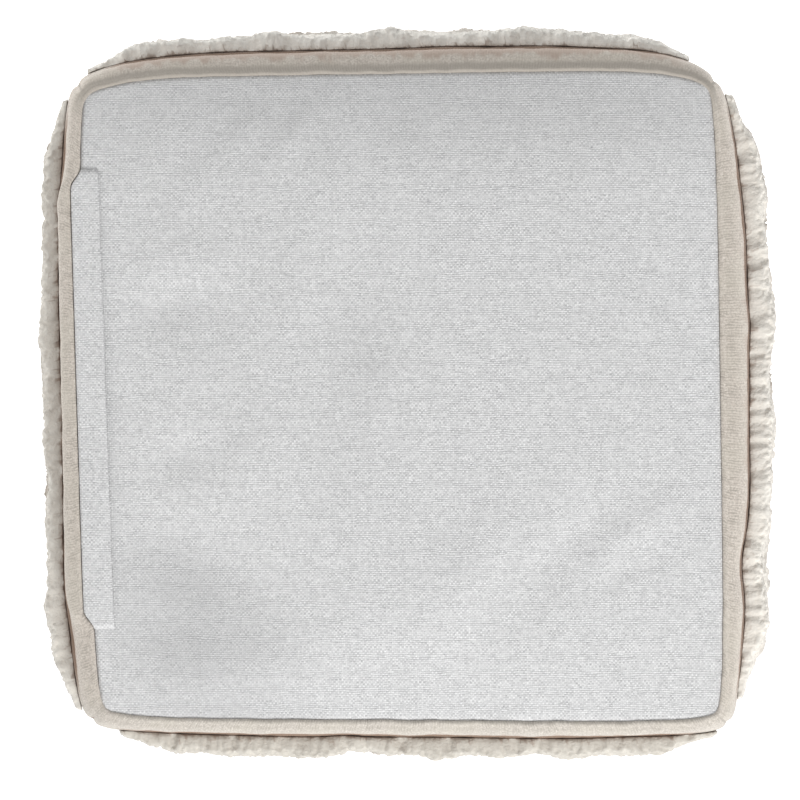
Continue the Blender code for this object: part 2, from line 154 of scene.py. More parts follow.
def wave(*place):
    """Smooth noise from -1 to 1."""
    return noise.noise(Vector(place))


def through_three(values, shares):
    """A smooth curve through a value at the start, one in the middle and one at the end."""
    first, middle, last = values
    turning = 2 * (first + last - 2 * middle) * shares
    return first + (4 * middle - 3 * first - last + turning) * shares


def profile_behind_pile(drop):
    belly = np.sin(np.pi * drop / WALL_DROP) ** BELLY_CURVE
    return (drop, 1.0, 1.0, belly, mix(CORNER_BEHIND_PILE, 1.0, belly))


def smooth_profile():
    """The profile's rows with finer rows curved in between."""
    behind = np.linspace(PILE_FIRST_DROP, PILE_LAST_DROP, PROFILE_STEPS_BEHIND_PILE + 1)
    rows = np.array([*MARGIN_PROFILE, *map(profile_behind_pile, behind), *HEM_PROFILE])
    found = []
    for k in range(len(rows) - 1):
        bare_cloth = k < len(MARGIN_PROFILE) or k >= len(rows) - len(HEM_PROFILE) - 1
        steps = FINER_ROWS if bare_cloth else FINER_ROWS_BEHIND_PILE
        bend_in = rows[k + 1] - rows[max(k - 1, 0)]
        bend_out = rows[min(k + 2, len(rows) - 1)] - rows[k]
        for step in range(steps):
            t = step / steps
            found.append(
                (2 * t**3 - 3 * t**2 + 1) * rows[k]
                + (t**3 - 2 * t**2 + t) * 0.5 * bend_in
                + (3 * t**2 - 2 * t**3) * rows[k + 1]
                + (t**3 - t**2) * 0.5 * bend_out
            )
    found.append(rows[-1])
    return np.array(found)


def corner_point(index, row):
    index %= 4
    drop, corner = row[0], row[4]
    sign = np.sign(CORNERS[index])
    out = CORNER_OUT[index] * corner - CORNER_PINCH * smoothstep(corner)
    flat = mix(CORNERS[index], sign * TOP_HALF, max(0.0, drop) / WALL_DROP) + sign * out
    return np.array([flat[0], flat[1], BASE_SEAM_Z - drop])


def placket(y, drop):
    """How far the zip's end under the flap pushes the left wall out."""
    outer = smoothstep(drop / PLACKET_ROLL)
    inside = np.minimum(FLAP_BACK_Y - y, y - FLAP_FRONT_Y) + outer * PLACKET_FADE
    bulge = smoothstep(inside / (PLACKET_FADE * (1 + PLACKET_SPREAD * outer)))
    bulge *= 1 - smoothstep(drop / PLACKET_DEPTH)
    return PLACKET_BULGE * mix(1.0, PLACKET_BULGE_BELOW, outer) * bulge


def wall_points(index, shares, row):
    """The cloth of one wall, at shares of its length, on one row of the profile."""
    drop, roll, shoulder, belly, corner = row
    start, end = corner_point(index, row), corner_point(index + 1, row)
    fall = smoothstep(drop / WALL_DROP)
    margin = mix(through_three(SIDE_MARGIN[index], shares), TOP_SHOULDER, fall) - ROLL_WIDTH
    stand = ROLL_WIDTH * roll + SIDE_BELLY[index] * belly + margin * shoulder
    for side, middle, length, depth in MARGIN_DENTS:
        if side == SIDE_NAMES[index]:
            above_pile = 1 - smoothstep((drop - PILE_FIRST_DROP) / DENT_FADE)
            stand -= depth * shoulder * above_pile * np.exp(-(((shares - middle) / length) ** 2))
    bow = mix(SIDE_BOW[index], TOP_BOW, fall)
    corner_out = mix(CORNER_OUT[index], CORNER_OUT[(index + 1) % 4], shares) * corner
    out = (bow + stand - corner_out) * plateau(shares, mix(SIDE_POWER[index], BELLY_POWER, belly))
    out += CORNER_PINCH * smoothstep(corner) * smoothstep(shares * (1 - shares) / CORNER_PINCH_WIDTH)
    line = start + (end - start) * shares[:, None]
    if SIDE_NAMES[index] == "left":
        out += placket(line[:, 1], drop)
    loose = smoothstep(drop / PILE_FIRST_DROP) * plateau(shares, WOBBLE_POWER)
    wobble = np.array([wave(*point) for point in line / WOBBLE_SIZE])
    out += WALL_WOBBLE * loose * wobble
    return line + out[:, None] * OUTWARD[index]


def spanned(edges, across, along, inside=slice(None)):
    """A grid carried in from its front, right, back and left edges, or the inner part of one."""
    front, right, back, left = edges
    corners = mix(mix(front[0], front[-1], across), mix(back[0], back[-1], across), along)
    from_front = mix(front[None, inside], back[None, inside], along)
    return from_front + mix(left[inside, None], right[inside, None], across) - corners


def grid_faces(number):
    """The cells of a grid of point numbers."""
    cells = np.stack([number[:-1, :-1], number[:-1, 1:], number[1:, 1:], number[1:, :-1]], axis=-1)
    return cells.reshape(-1, 4).tolist()


def cap_faces(ring, inner_start):
    """Faces that close a fine square ring with a coarser grid, whose inner points start there."""
    coarse = ring[::CAP_SPLIT]
    cells = len(coarse) // 4
    number = np.empty((cells + 1, cells + 1), int)
    number[0, :-1], number[:-1, -1] = coarse[:cells], coarse[cells : 2 * cells]
    number[-1, :0:-1], number[:0:-1, 0] = coarse[2 * cells : 3 * cells], coarse[3 * cells :]
    number[1:-1, 1:-1] = inner_start + np.arange((cells - 1) ** 2).reshape(cells - 1, cells - 1)
    between = {}
    for k, first in enumerate(coarse):
        between[first, coarse[(k + 1) % len(coarse)]] = ring[k * CAP_SPLIT + 1 : (k + 1) * CAP_SPLIT]
    faces = []
    for cell in grid_faces(number):
        face = []
        for pair in zip(cell, cell[1:] + cell[:1]):
            face += [pair[0], *between.get(pair, [])]
        faces.append(face)
    return faces


def cap_inside(ring_points):
    """The inner points of the coarse grid over a square ring, carried in from its four sides."""
    coarse = ring_points[::CAP_SPLIT]
    cells = len(coarse) // 4
    front, right = coarse[: cells + 1], coarse[cells : 2 * cells + 1]
    back = coarse[2 * cells : 3 * cells + 1][::-1]
    left = np.vstack([coarse[3 * cells :], coarse[:1]])[::-1]
    t = np.linspace(0, 1, cells + 1)[1:-1]
    across, along = np.meshgrid(t, t)
    points = spanned((front, right, back, left), across[..., None], along[..., None], slice(1, -1))
    return points, across, along


def reach_along(cloth, axis):
    """How far each point of a grid lies along its line."""
    spans = np.linalg.norm(np.diff(cloth, axis=axis), axis=-1)
    return np.concatenate([np.zeros_like(spans.take([0], axis)), np.cumsum(spans, axis=axis)], axis=axis)


def unit(vectors):
    return vectors / np.linalg.norm(vectors, axis=-1, keepdims=True)


def crown(across, along, power_at_back):
    """How far the filling rises above the base seam."""
    upward = np.where(along > 0.5, plateau(along, power_at_back), plateau(along, CROWN_POWER))
    domed = CROWN_HEIGHT * plateau(across, CROWN_POWER) * upward
    return np.minimum(domed, CROWN_HEIGHT * CROWN_LEVEL)


def top_cap_heights(across, along):
    """The pressed top: level but for its edge, where it curves up to the top seam."""
    fall = np.minimum(1.0, plateau(across, TOP_CAP_POWER) * plateau(along, TOP_CAP_POWER) / TOP_CAP_LEVEL)
    return mix(BASE_SEAM_Z - WALL_DROP, TOP_CAP_Z, fall)


def placed(name, data):
    made = bpy.data.objects.new(name, data)
    bpy.context.scene.collection.objects.link(made)
    return made


def new_piece(name, points, faces, material, uv=None):
    """A piece with its place in its mesh. uv gives a point's place on its own flat cloth."""
    mesh = bpy.data.meshes.new(name)
    mesh.from_pydata((np.asarray(points) + MOVED).tolist(), [], faces)
    if uv is not None:
        layer = mesh.uv_layers.new(name="cloth")
        loops = np.empty(len(mesh.loops), np.int32)
        mesh.loops.foreach_get("vertex_index", loops)
        layer.data.foreach_set("uv", np.asarray(uv, np.float32)[loops].ravel())
    mesh.materials.append(material)
    mesh.shade_smooth()
    mesh.validate()
    return placed(name, mesh)


def feed(node, inputs):
    """Gives a node's sockets their values, or joins them to the sockets that feed them."""
    for socket, value in inputs.items():
        if isinstance(value, bpy.types.NodeSocket):
            node.id_data.links.new(value, node.inputs[socket])
        else:
            node.inputs[socket].default_value = value


def add_node(tree, kind, inputs=None, **settings):
    made = tree.nodes.new(kind)
    for key, value in settings.items():
        setattr(made, key, value)
    feed(made, inputs or {})
    return made


def maths(tree, operation, *values):
    return add_node(tree, "ShaderNodeMath", dict(enumerate(values)), operation=operation).outputs[0]


def plus(tree, base, value, amount):
    """The base and this amount of the value."""
    return maths(tree, "MULTIPLY_ADD", value, amount, base)


def times(tree, product, *others):
    for other in others:
        product = maths(tree, "MULTIPLY", product, other)
    return product


def parts(tree, vector):
    """A vector's X, Y and Z."""
    return add_node(tree, "ShaderNodeSeparateXYZ", {0: vector}).outputs


def ranged(tree, value, low, high, to_low=0.0, to_high=1.0):
    """Carries a value from one range to another, softly and no further."""
    inputs = {"Value": value, 1: low, 2: high, 3: to_low, 4: to_high}
    return add_node(tree, "ShaderNodeMapRange", inputs, interpolation_type="SMOOTHSTEP").outputs[0]


def mottled(tree, place, size, detail, stretch=(1.0, 1.0, 1.0)):
    """Uneven shade from 0 to 1, with patches about this many metres across."""
    scale = tuple(s / size for s in stretch)
    mapped = add_node(tree, "ShaderNodeMapping", {"Vector": place, "Scale": scale})
    inputs = {"Vector": mapped.outputs[0], "Scale": 1.0, "Detail": detail}
    return add_node(tree, "ShaderNodeTexNoise", inputs).outputs[0]


def blended(tree, share, first, second):
    colours = {6: first, 7: second}
    inputs = {k: (*v, 1.0) if isinstance(v, tuple) else v for k, v in colours.items()}
    return add_node(tree, "ShaderNodeMix", {0: share, **inputs}, data_type="RGBA").outputs[2]


def cloth_finish(name, roughness, sheen):
    made = bpy.data.materials.new(name)
    made.use_nodes = True
    shader = made.node_tree.nodes["Principled BSDF"]
    feed(shader, {"Roughness": roughness, "Specular IOR Level": 0.2})
    feed(shader, {"Sheen Weight": sheen, "Sheen Roughness": 0.6})
    return made, made.node_tree, shader


def colour_and_relief(tree, shader, colour, height, strength, distance):
    """Gives the cloth its colour and the fine relief of its yarns."""
    relief = {"Strength": strength, "Distance": distance, "Height": height}
    relief = add_node(tree, "ShaderNodeBump", relief).outputs[0]
    feed(shader, {"Base Color": colour, "Normal": relief})


# Ribbed cotton: fine ribs run down the wall, 1.9 mm apart and stronger over the roll, where the
# seam's stitches pull them together. Brown painted shade and a painted shadow lie in the crease above the
# pile.
RIB_PITCH = 0.0019
RIB_WANDER = 0.003
IVORY = (0.64, 0.585, 0.525)
IVORY_SHADE = (0.5, 0.435, 0.375)
IVORY_CLEAN = (0.8, 0.75, 0.68)
# painted shade for the front wall, which faces the main light
IVORY_PAINTED_SHADE = (0.5, 0.465, 0.42)
IVORY_AGED = (0.6, 0.56, 0.48)
ROLL_SHADE = (0.4, 0.365, 0.32)
CREASE_PAINTED_SHADE = (0.44, 0.34, 0.28)
CREASE_PAINTED_SHADOW = (0.27, 0.185, 0.135)

wall_cloth, tree, shader = cloth_finish("ribbed_ivory_cotton", 0.88, 0.15)
cloth_place = add_node(tree, "ShaderNodeUVMap", uv_map="cloth").outputs[0]
model_place = add_node(tree, "ShaderNodeTexCoord").outputs["Object"]
along_seam, down_wall = parts(tree, cloth_place)[:2]
toward_back = parts(tree, model_place)[1]
at_back = ranged(tree, toward_back, 0.19, 0.215)
near_seam = ranged(tree, down_wall, 0.0095, 0.015, 1.0, 0.0)
patchy = mottled(tree, cloth_place, 0.004, 3.0, (1.0, 0.5, 1.0))
lint = mottled(tree, cloth_place, 0.0012, 2.0)
speck = mottled(tree, model_place, 0.0013, 1.0)
broad_patch = mottled(tree, cloth_place, 0.03, 2.0)

# the ribs, worn in patches
drift = mottled(tree, cloth_place, 0.0045, 3.0, (1.0, 0.6, 1.0))
rib_place = plus(tree, along_seam, drift, RIB_WANDER)
rib = maths(tree, "SINE", times(tree, rib_place, 2 * math.pi / RIB_PITCH))
rib = plus(tree, 0.5, rib, 0.5)
rib_depth = times(tree, maths(tree, "SUBTRACT", 1.0, rib), ranged(tree, patchy, 0.35, 0.65))
rib_share = times(tree, rib_depth, plus(tree, 0.08, near_seam, 0.55))
colour = blended(tree, rib_share, IVORY, IVORY_SHADE)

# lint, painted shade on the front wall, which faces the main light, specks, and the stitches' dashes
# along the seam
colour = blended(tree, ranged(tree, lint, 0.35, 0.65, 0.0, 0.5), colour, IVORY_SHADE)
front_wall_painted_shade = ranged(tree, toward_back, -0.222, -0.205, 0.75, 0.0)
colour = blended(tree, front_wall_painted_shade, colour, IVORY_PAINTED_SHADE)
colour = blended(tree, ranged(tree, speck, 0.52, 0.66, 0.0, 0.55), colour, ROLL_SHADE)
colour = blended(tree, ranged(tree, speck, 0.46, 0.34, 0.0, 0.4), colour, IVORY_CLEAN)
dash = times(
    tree,
    ranged(tree, rib_depth, 0.3, 0.7),
    near_seam,
    ranged(tree, lint, 0.35, 0.55, 0.25, 0.85),
    plus(tree, 1.0, at_back, -0.7),
)
colour = blended(tree, dash, colour, ROLL_SHADE)
colour = blended(tree, ranged(tree, broad_patch, 0.35, 0.7, 0.0, 0.35), colour, IVORY_AGED)

# the upright seams, and the back's roll in shade
along_side = maths(tree, "FRACT", times(tree, along_seam, 1 / WALL_START))
along_side = times(tree, along_side, WALL_START / WALL_LENGTH)
below_roll = ranged(tree, down_wall, 0.009, 0.012, 0.0, 0.75)
upright_seam = times(tree, ranged(tree, along_side, 1.0, 1.03), below_roll)
colour = blended(tree, upright_seam, colour, ROLL_SHADE)
on_roll = ranged(tree, down_wall, 0.0085, 0.011, 0.75, 0.0)
colour = blended(tree, times(tree, at_back, on_roll), colour, ROLL_SHADE)

# painted shade beside the crease above the pile, and a darker painted shadow in it, with a ragged edge
off_corner = times(
    tree, ranged(tree, along_side, 0.03, 0.1), ranged(tree, along_side, 0.9, 0.97, 1.0, 0.0)
)
ragged = mottled(tree, cloth_place, 0.009, 2.0, (1.0, 0.4, 1.0))
astray = plus(tree, maths(tree, "SUBTRACT", down_wall, 0.0105), patchy, 0.005)
astray = plus(tree, astray, ragged, 0.016)
crease_painted_shade_share = times(
    tree, ranged(tree, broad_patch, 0.4, 0.62, 0.15, 0.6), ranged(tree, down_wall, 0.017, 0.027)
)
back_crease_painted_shade = times(tree, at_back, ranged(tree, astray, 0.0115, 0.0165, 0.0, 0.75))
crease_edge_painted_shade = maths(tree, "MAXIMUM", ranged(tree, astray, 0.0165, 0.0225, 0.0, 0.4), back_crease_painted_shade)
above_pile = ranged(tree, down_wall, 0.038, 0.05, 1.0, 0.0)
crease_painted_shade_share = times(tree, maths(tree, "ADD", crease_painted_shade_share, crease_edge_painted_shade), above_pile, off_corner)
colour = blended(tree, crease_painted_shade_share, colour, CREASE_PAINTED_SHADE)
# the darker painted shadow deep in the crease
in_crease = ranged(tree, down_wall, 0.037, 0.042, 1.0, 0.0)
dark = times(tree, ranged(tree, astray, 0.024, 0.029), in_crease, off_corner)
colour = blended(tree, dark, colour, CREASE_PAINTED_SHADOW)
colour_and_relief(tree, shader, colour, plus(tree, rib, patchy, 0.6), 0.34, 0.0004)

rows = smooth_profile()
columns = np.arange(SIDE_COLUMNS)
shares = closer_at_ends(columns / SIDE_COLUMNS, TOWARD_CORNERS)
rings = np.array([np.vstack([wall_points(k, shares, row) for k in range(4)]) for row in rows])
row_count, ring_count = rings.shape[:2]
columns_off = np.minimum(columns, SIDE_COLUMNS - columns)
soft = np.tile(1 - smoothstep(columns_off / CORNER_ROUND_COLUMNS), 4)[None, :, None]
for _ in range(CORNER_ROUNDINGS):
    beside = (np.roll(rings, 1, axis=1) + np.roll(rings, -1, axis=1)) / 2
    rings = mix(rings, beside, 0.5 * soft)
down = reach_along(rings[:, SIDE_COLUMNS // 2], 0)
round_seam = np.concatenate([k * WALL_START + WALL_LENGTH * shares for k in range(4)])

# Small gathers along the base seam, a ditch where the roll is stitched down, and soft folds at the
# corners, all worked outward from the wall.
GATHERED_TO = 0.06  # how far down the gathers reach
FINE_GATHER_SIZE = 0.0065
BROAD_GATHER_SIZE = 0.021
FINE_GATHER = 0.00045
BROAD_GATHER = 0.0009
SKEW_GATHER = 0.0005
ROLL_DITCH = 0.0005
ROLL_DITCH_DOWN = 0.0085
ROLL_DITCH_WIDTH = 0.0014
CORNER_REACH = 0.04  # how far from the upright seam the corner's folds reach
CORNER_PUCKER = 0.0012
CORNER_PUCKER_WIDTH = 0.011
CORNER_DITCH = 0.0016  # how far the upright seams' stitches draw in
CORNER_DITCH_WIDTH = 0.0022
CORNER_TURN = 0.016  # how far from the corner the cloth turns to face both walls


def seam_gathers(u, v):
    fine = wave(u / FINE_GATHER_SIZE, 3.7, 0.0)
    broad = wave(u / BROAD_GATHER_SIZE, 9.1, 0.0)
    skew = wave(u / 0.012, v / 0.01, 5.0)
    fade = smoothstep(v / 0.004) * (1 - smoothstep((v - 0.01) / 0.03))
    ditch = math.exp(-(((v - ROLL_DITCH_DOWN) / ROLL_DITCH_WIDTH) ** 2))
    return fade * (FINE_GATHER * fine + BROAD_GATHER * broad + SKEW_GATHER * skew) - ROLL_DITCH * ditch


gathers = np.zeros((row_count, ring_count))
from_corner = np.tile(np.minimum(shares, 1 - shares) * (CORNERS[1, 0] - CORNERS[0, 0]), 4)
for column in range(ring_count):
    u, off = round_seam[column], from_corner[column]
    for line in range(row_count):
        v = down[line]
        if v < GATHERED_TO:
            gathers[line, column] = seam_gathers(u, v)
        if off < CORNER_REACH:
            below = smoothstep((v - 0.009) / 0.004)
            pucker = wave(v / 0.0085, 5.0 * round(u / WALL_START), 3.0)
            gathers[line, column] += (
                below * CORNER_PUCKER * pucker * math.exp(-((off / CORNER_PUCKER_WIDTH) ** 2))
            )
            gathers[line, column] -= below * CORNER_DITCH * math.exp(-((off / CORNER_DITCH_WIDTH) ** 2))
ways = np.repeat(OUTWARD, SIDE_COLUMNS, axis=0)
last_way = np.roll(ways, SIDE_COLUMNS, axis=0)
next_way = np.roll(ways, -SIDE_COLUMNS, axis=0)
beyond = np.where(np.tile(shares < 0.5, 4)[:, None], last_way, next_way)
ways = unit(ways + beyond * (1 - smoothstep(from_corner / CORNER_TURN))[:, None])
rings += gathers[..., None] * ways[None]

faces = []
for line in range(row_count - 1):
    for column in range(ring_count):
        beside = (column + 1) % ring_count
        first, second = line * ring_count, (line + 1) * ring_count
        faces.append((first + column, second + column, second + beside, first + beside))
base_inside, across, along = cap_inside(rings[0])
base_inside[..., 2] = BASE_CAP_Z + crown(across, along, CROWN_POWER)
base_start = row_count * ring_count
faces += cap_faces(list(range(ring_count)), base_start)
top_inside, across, along = cap_inside(rings[-1])
top_inside[..., 2] = top_cap_heights(across, along)
top_start = base_start + base_inside[..., 0].size
last_ring = list(range(base_start - ring_count, base_start))
faces += [face[::-1] for face in cap_faces(last_ring, top_start)]
cap_points = np.vstack([base_inside.reshape(-1, 3), top_inside.reshape(-1, 3)])
points = np.vstack([rings.reshape(-1, 3), cap_points])
wall_uv = np.stack(np.broadcast_arrays(round_seam[None], down[:, None]), axis=-1).reshape(-1, 2)
cover = new_piece("filled_cover", points, faces, wall_cloth, np.vstack([wall_uv, cap_points[:, :2]]))
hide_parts("body")
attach(cover, "root")

# --------------------------------------------------
# The base panel. One square of heavy plain-weave cotton canvas, turned in along the base seam and
# pulled fairly flat over the filling, with soft hollows and folds where it is slack.

PANEL_THICKNESS = 0.0016
PANEL_INSET = (0.0005, 0.0002, 0.0013, 0.0004)
PANEL_CELLS = 112
PANEL_TOWARD_EDGES = 0.35  # how much closer its lines lie along its edges
PANEL_SPAN = 0.44
PANEL_EDGE_DIP = 0.0004  # how far the turned edge rolls down into the seam
PANEL_EDGE_ROLL = 0.0035
CROWN_POWER_AT_BACK = 5  # the crown reaches further toward the back
CLEAR_HALF = 0.012  # half the width of the level middle, which has no folds
CLEAR_FADE = 0.02
CREASE_X = -0.0015  # where the panel was folded in two
CREASE_HOLLOW = 0.002
CREASE_WIDTH = 0.022
CREASE_FROM_Y = 0.01
CREASE_FADE = 0.06
FOLDS_KEEP_IN = 8  # the folds fade out over about an eighth of the panel from each edge
PUCKER = 0.00035  # fine gathers at the back edge
PUCKERED_FROM_Y = 0.15
CRUMPLE = 0.0003
# Hollows and folds, in mm: middle x, y, half length, half width and height; turn in degrees
PANEL_FOLDS = [
    (-158, 63, 36, 19, -3.4, 5),
    (-150, 98, 40, 16, 1.4, 8),
    (-152, -40, 26, 16, -2.8, 12),
    (-146, -108, 50, 24, -4.4, -28),
    (-106, -42, 36, 20, 2.6, 55),
    (-118, -200, 45, 28, 7.0, 10),
    (-168, -160, 30, 24, -3.0, 80),
    (-10, -150, 75, 34, 2.6, 25),
    (-32, 50, 80, 28, -3.4, 82),
    (-78, 60, 70, 14, 1.4, 78),
    (84, -60, 55, 16, -2.0, 72),
    (112, -108, 44, 18, -3.2, 48),
    (58, -100, 78, 18, 2.6, 62),
    (172, -82, 46, 10, 1.6, 30),
    (166, -112, 46, 9, -1.4, 28),
    (-2, 145, 75, 11, 1.8, 90),
    (-70, 188, 30, 8, 3.0, 55),
    (-104, 190, 28, 8, 2.8, 50),
    (-140, 170, 60, 12, -1.4, 40),
]


def off_middle(x, y):
    """0 over the level middle of the panel, 1 outside it."""
    return smoothstep((np.maximum(np.abs(x), np.abs(y)) - CLEAR_HALF) / CLEAR_FADE)


def panel_folds(x, y):
    height = np.zeros_like(x)
    for *sizes, turn in PANEL_FOLDS:
        fold_x, fold_y, long, wide, rise = (size / 1000 for size in sizes)
        turn = math.radians(turn)
        dx, dy = x - fold_x, y - fold_y
        along = (dx * math.cos(turn) + dy * math.sin(turn)) / long
        across = (dy * math.cos(turn) - dx * math.sin(turn)) / wide
        height += rise * np.exp(-(along**2 + across**2))
    beside = np.maximum(0.0, CREASE_X - x) / CREASE_WIDTH
    crease = CREASE_HOLLOW * beside * np.exp(1 - beside)
    height -= crease * smoothstep((y - CREASE_FROM_Y) / CREASE_FADE)
    return height * off_middle(x, y)


def panel_edge(index, shares):
    return wall_points(index, shares, MARGIN_PROFILE[0]) - PANEL_INSET[index] * OUTWARD[index]


def panel_points(across, along):
    """Points of the panel's face, at shares of its width and length, carried in from its edges."""
    front, back = panel_edge(0, across), panel_edge(2, 1 - across)
    right, left = panel_edge(1, along), panel_edge(3, 1 - along)
    s, t = across[None, :], along[:, None]
    face = spanned((front, right, back, left), s[..., None], t[..., None])
    folds = panel_folds(face[..., 0], face[..., 1])
    folds = folds * smoothstep(FOLDS_KEEP_IN * s * (1 - s)) * smoothstep(FOLDS_KEEP_IN * t * (1 - t))
    face[..., 2] = BASE_SEAM_Z + crown(s, t, CROWN_POWER_AT_BACK) + folds
    return face


# Plain weave: weft and warp yarns about 1.4 mm apart, with raised wefts every 1.7 mm in patches,
# yarns that differ a little in shade, and a few dark flecks of seed left in the cotton.
CANVAS_LIGHT = (0.92, 0.92, 0.92)
CANVAS_SHADE = (0.46, 0.46, 0.465)
CANVAS_FLECK = (0.25, 0.25, 0.27)
CANVAS_PAINTED_SHADE_PATCHES = (  # painted shade over soft hollows and slopes: middle x, y, half length, half width, how much
    (-0.125, -0.200, 0.100, 0.125, 0.31),
    (-0.165, -0.140, 0.075, 0.070, 0.22),
    (-0.150, -0.110, 0.070, 0.045, 0.08),
    (-0.150, 0.060, 0.050, 0.034, 0.06),
    (-0.028, 0.020, 0.040, 0.100, 0.06),
)
WEFT_PITCH = 0.00145
WARP_PITCH = 0.00135
WEFT_RIB = 0.00165  # from one raised weft to the next
WEFT_RUN = 0.005  # how long a weft keeps one shade
WEFT_STEP = 0.37  # how much further along each weft's runs begin
YARN_WAVER = 0.0024
MIDDLE_LIGHT = 0.62  # the mean of the yarns' light, taken off before it is strengthened


def vector_maths(tree, operation, *values, **more):
    inputs = {**dict(enumerate(values)), **more}
    made = add_node(tree, "ShaderNodeVectorMath", inputs, operation=operation)
    return made.outputs["Value" if operation == "LENGTH" else "Vector"]


def wander(tree, place, size, amount, detail=1.0):
    """Uneven pushes, in patches about this many metres across."""
    waves = add_node(tree, "ShaderNodeTexNoise", {"Vector": place, "Scale": 1 / size, "Detail": detail})
    pushes = vector_maths(tree, "SUBTRACT", waves.outputs["Color"], (0.5, 0.5, 0.5))
    return vector_maths(tree, "SCALE", pushes, Scale=amount)


canvas, tree, shader = cloth_finish("heavy_canvas", 0.92, 0.1)
cloth_place = add_node(tree, "ShaderNodeUVMap", uv_map="cloth").outputs[0]

# the yarns, one over and one under
waver = wander(tree, cloth_place, 1 / 70, YARN_WAVER, 2.0)
weft_way, warp_way = parts(tree, vector_maths(tree, "ADD", cloth_place, waver))[:2]
warp_wave = maths(tree, "SINE", times(tree, weft_way, math.pi / WARP_PITCH))
weft_wave = maths(tree, "SINE", times(tree, warp_way, math.pi / WEFT_PITCH))
over_under = times(tree, warp_wave, weft_wave)
weft_on_top = ranged(tree, over_under, -0.25, 0.25)
bodies = {0: weft_on_top, 2: maths(tree, "ABSOLUTE", warp_wave), 3: maths(tree, "ABSOLUTE", weft_wave)}
weave = add_node(tree, "ShaderNodeMix", bodies, data_type="FLOAT").outputs[0]
warp_number = maths(tree, "FLOOR", maths(tree, "DIVIDE", weft_way, WARP_PITCH))
weft_number = maths(tree, "FLOOR", maths(tree, "DIVIDE", warp_way, WEFT_PITCH))


def chance_shade(*place):
    place = add_node(tree, "ShaderNodeCombineXYZ", dict(enumerate(place))).outputs[0]
    return add_node(tree, "ShaderNodeTexWhiteNoise", {"Vector": place}).outputs["Value"]


run_place = maths(tree, "DIVIDE", weft_way, WEFT_RUN)
weft_run = maths(tree, "FLOOR", plus(tree, run_place, weft_number, WEFT_STEP))
crossing_shade = chance_shade(warp_number, weft_number)
weft_shade = chance_shade(weft_run, weft_number, 5.0)
drawn = mottled(tree, cloth_place, 0.0034, 1.0, (0.9, 1.8, 1.0))
weft_rib = maths(tree, "SINE", times(tree, warp_way, 2 * math.pi / WEFT_RIB))
weft_rib = times(tree, weft_rib, ranged(tree, drawn, 0.38, 0.62, 0.15, 1.0))

# their light, stronger in some patches than in others
yarn_light = plus(tree, times(tree, crossing_shade, 0.62), over_under, 0.32)
for light, amount in ((weft_shade, 0.24), (weft_rib, 0.36), (weave, 0.3)):
    yarn_light = plus(tree, yarn_light, light, amount)
worn = mottled(tree, cloth_place, 0.012, 1.0)
yarn_light = maths(tree, "SUBTRACT", yarn_light, MIDDLE_LIGHT)
yarn_light = times(tree, yarn_light, ranged(tree, worn, 0.36, 0.6, 0.48, 0.66))
yarn_light = maths(tree, "ADD", yarn_light, 0.56)
colour = blended(tree, yarn_light, CANVAS_SHADE, CANVAS_LIGHT)

# painted shade along the back edge, where the crown slopes away, and in patches, and the flecks
canvas_painted_shade = ranged(tree, warp_way, 0.135, 0.212, 0.0, 0.3)
for shade_x, shade_y, half_x, half_y, amount in CANVAS_PAINTED_SHADE_PATCHES:
    off = vector_maths(tree, "SUBTRACT", cloth_place, (shade_x, shade_y, 0.0))
    off = vector_maths(tree, "MULTIPLY", off, (1 / half_x, 1 / half_y, 1.0))
    off = vector_maths(tree, "LENGTH", off)
    canvas_painted_shade = maths(tree, "ADD", canvas_painted_shade, ranged(tree, off, 0.0, 1.0, amount, 0.0))
colour = blended(tree, canvas_painted_shade, colour, CANVAS_SHADE)
seed = mottled(tree, cloth_place, 0.0016, 0.0, (0.7, 1.0, 1.0))
colour = blended(tree, ranged(tree, seed, 0.78, 0.85, 0.0, 0.5), colour, CANVAS_FLECK)
height = plus(tree, times(tree, weave, 0.6), yarn_light, 1.2)
colour_and_relief(tree, shader, colour, height, 0.7, 0.0005)


def rim_of(number):
    """The point numbers round a grid's edge."""
    rim = [*number[0, :-1], *number[:-1, -1], *number[-1, :0:-1], *number[:0:-1, 0]]
    return [int(v) for v in rim]


def cloth_sheet(name, face, thickness, material, flat_place):
    """A sheet of even thickness under a grid of points, closed round its edge."""
    lines, columns = face.shape[:2]
    below = lines * columns
    under = face.copy()
    under[..., 2] -= thickness
    number = np.arange(below).reshape(lines, columns)
    faces = []
    for cell in grid_faces(number):
        faces += [cell, [v + below for v in reversed(cell)]]
    rim = rim_of(number)
    for first, second in zip(rim, rim[1:] + rim[:1]):
        faces.append([second, first, first + below, second + below])
    points = np.vstack([face.reshape(-1, 3), under.reshape(-1, 3)])
    uv = np.vstack([flat_place.reshape(-1, 2), flat_place.reshape(-1, 2)])
    return new_piece(name, points, faces, material, uv)


steps = closer_at_ends(np.linspace(0, 1, PANEL_CELLS + 1), PANEL_TOWARD_EDGES)
face = panel_points(steps, steps)
from_end = np.minimum(steps, 1 - steps)
edge = np.minimum(from_end[None, :], from_end[:, None]) * PANEL_SPAN
face[..., 2] -= PANEL_EDGE_DIP * (1 - smoothstep(edge / PANEL_EDGE_ROLL))
for j in range(PANEL_CELLS + 1):
    for i in range(PANEL_CELLS + 1):
        x, y = face[j, i, 0], face[j, i, 1]
        near_back = smoothstep((y - PUCKERED_FROM_Y) / 0.06)
        pucker = wave(x / 0.014, y / 0.06, 2.0)
        crumple = wave((x + y) / 0.03, (x - y) / 0.06, 7.0)
        off_edge = smoothstep(edge[j, i] / 0.01)
        face[j, i, 2] += off_edge * (PUCKER * near_back * pucker + CRUMPLE * off_middle(x, y) * crumple)
panel = cloth_sheet("base_canvas", face, PANEL_THICKNESS, canvas, face[..., :2])
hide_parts("base_panel")
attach(panel, "root")

# --------------------------------------------------
# The zip flap. A folded strip of the same canvas covers the zip: its outer edge is caught in the
# left seam with the panel, its ends are stitched down and its inner edge is free.

